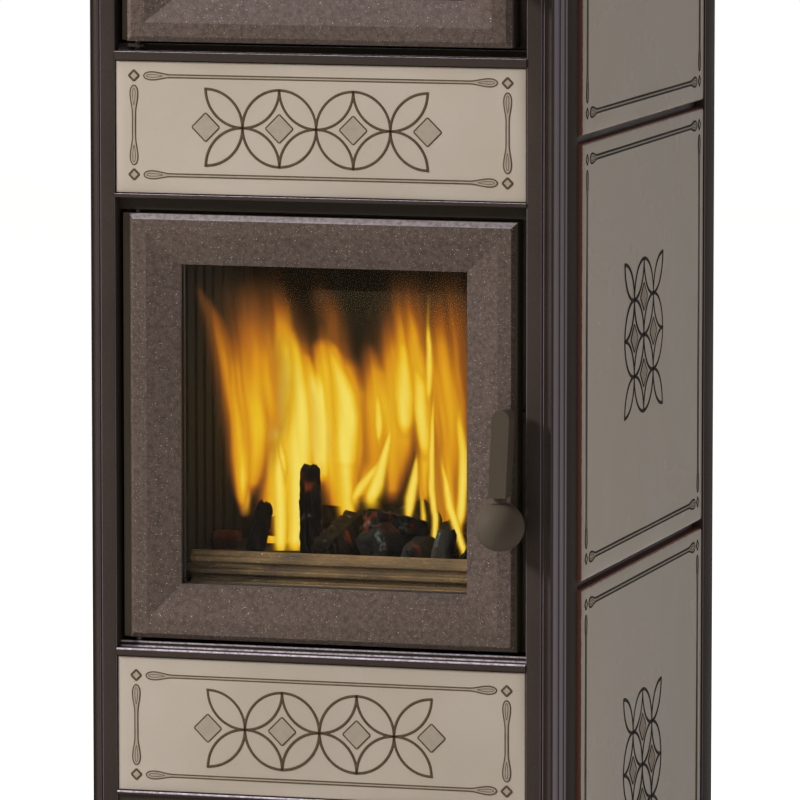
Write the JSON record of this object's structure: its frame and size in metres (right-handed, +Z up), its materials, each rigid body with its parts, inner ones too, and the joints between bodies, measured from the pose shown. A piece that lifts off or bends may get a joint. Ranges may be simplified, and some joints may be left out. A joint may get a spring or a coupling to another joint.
{
  "type": "tiled wood stove with oven",
  "caption": "Tall tiled wood stove: glazed tile panels in a brown painted frame, a fire door with glass, an oven door above, a wood drawer below and a flue collar on top.",
  "frame": {"origin": "floor level, under the centre of the overall footprint, handles included", "axes": "+X to the right seen from the front, the doors face -Y, +Z up"},
  "size_m": [0.492, 0.6428, 1.3947],
  "materials": {
    "brown_paint": "satin dark brown paint",
    "door_paint": "fine metallic-grain brown-grey paint",
    "glaze": "warm grey-cream glaze with brown line ornament",
    "cast_iron": "matt black cast",
    "dark_steel": "matt heat-resistant paint",
    "firebrick": "sooty fireclay",
    "fire_glass": "clear heat-resistant glass ceramic",
    "seal_rope": "glass-fibre rope",
    "handle_paint": "matt olive brown",
    "bronze": "bronze-coloured cast, heat stained",
    "steel": "bare steel"
  },
  "bodies": {
    "root": {"plinth": "brown_paint", "foot_front_left": "cast_iron", "foot_front_right": "cast_iron", "foot_rear_left": "cast_iron", "foot_rear_right": "cast_iron", "post_front_left": "brown_paint", "post_front_right": "brown_paint", "post_rear_left": "brown_paint", "post_rear_right": "brown_paint", "front_panel_upper": "brown_paint", "front_panel_lower": "brown_paint", "rail_top": "brown_paint", "rear_panel": "dark_steel", "side_panel_left": "dark_steel", "side_panel_right": "dark_steel", "side_tile_left_lower": "glaze", "side_tile_left_middle": "glaze", "side_tile_left_upper": "glaze", "side_tile_right_lower": "glaze", "side_tile_right_middle": "glaze", "side_tile_right_upper": "glaze", "front_tile_upper": "glaze", "front_tile_lower": "glaze", "core_casing": "dark_steel", "firebrick_left": "firebrick", "firebrick_right": "firebrick", "firebrick_rear": "firebrick", "hearth_plate": "cast_iron", "grate": "cast_iron", "log_guard": "bronze", "baffle_plate": "cast_iron", "ash_pan": "dark_steel", "oven_liner": "steel", "oven_rack": "steel", "cornice": "brown_paint", "top_plate": "cast_iron", "flue_collar": "cast_iron", "fire_door_pin_lower": "steel", "fire_door_pin_upper": "steel", "oven_door_pin_lower": "steel", "oven_door_pin_upper": "steel"},
    "fire_door": {"fire_door_frame": "door_paint", "fire_door_glass": "fire_glass", "fire_door_glass_clamp": "dark_steel", "fire_door_gasket": "seal_rope"},
    "fire_door_handle": {"fire_door_handle_arm": "handle_paint", "fire_door_handle_ball": "handle_paint", "fire_door_latch": "steel"},
    "oven_door": {"oven_door_frame": "door_paint", "oven_door_glass": "fire_glass", "oven_door_glass_clamp": "dark_steel", "oven_door_gasket": "seal_rope"},
    "oven_door_handle": {"oven_door_handle_arm": "handle_paint", "oven_door_handle_ball": "handle_paint", "oven_door_latch": "steel"},
    "wood_drawer": {"wood_drawer_front": "brown_paint", "wood_drawer_box": "dark_steel"},
    "primary_air": {"primary_air_rod": "steel"},
    "secondary_air": {"secondary_air_rod": "steel"},
    "smoke_bypass": {"smoke_bypass_rod": "steel"}
  },
  "joints": [
    {"name": "fire_door_hinge", "type": "hinge", "parent": "root", "child": "fire_door", "pos_m": [-0.1835, -0.24855, 0.6175], "axis": [0, 0, -1], "range_deg": [0, 95]},
    {"name": "fire_door_handle_turn", "type": "hinge", "parent": "fire_door", "child": "fire_door_handle", "pos_m": [0.181, -0.25255, 0.636], "axis": [0, 1, 0], "range_deg": [0, 70]},
    {"name": "oven_door_hinge", "type": "hinge", "parent": "root", "child": "oven_door", "pos_m": [-0.181, -0.25455, 1.127], "axis": [0, 0, -1], "range_deg": [0, 95]},
    {"name": "oven_door_handle_turn", "type": "hinge", "parent": "oven_door", "child": "oven_door_handle", "pos_m": [0.1785, -0.26055, 1.157], "axis": [0, 1, 0], "range_deg": [0, 70]},
    {"name": "wood_drawer_slide", "type": "slide", "parent": "root", "child": "wood_drawer", "axis": [0, -1, 0], "range_m": [0, 0.36]},
    {"name": "primary_air_slide", "type": "slide", "parent": "root", "child": "primary_air", "axis": [0, -1, 0], "range_m": [0, 0.03]},
    {"name": "secondary_air_slide", "type": "slide", "parent": "root", "child": "secondary_air", "axis": [0, -1, 0], "range_m": [0, 0.03]},
    {"name": "smoke_bypass_slide", "type": "slide", "parent": "root", "child": "smoke_bypass", "axis": [0, -1, 0], "range_m": [0, 0.06]}
  ]
}
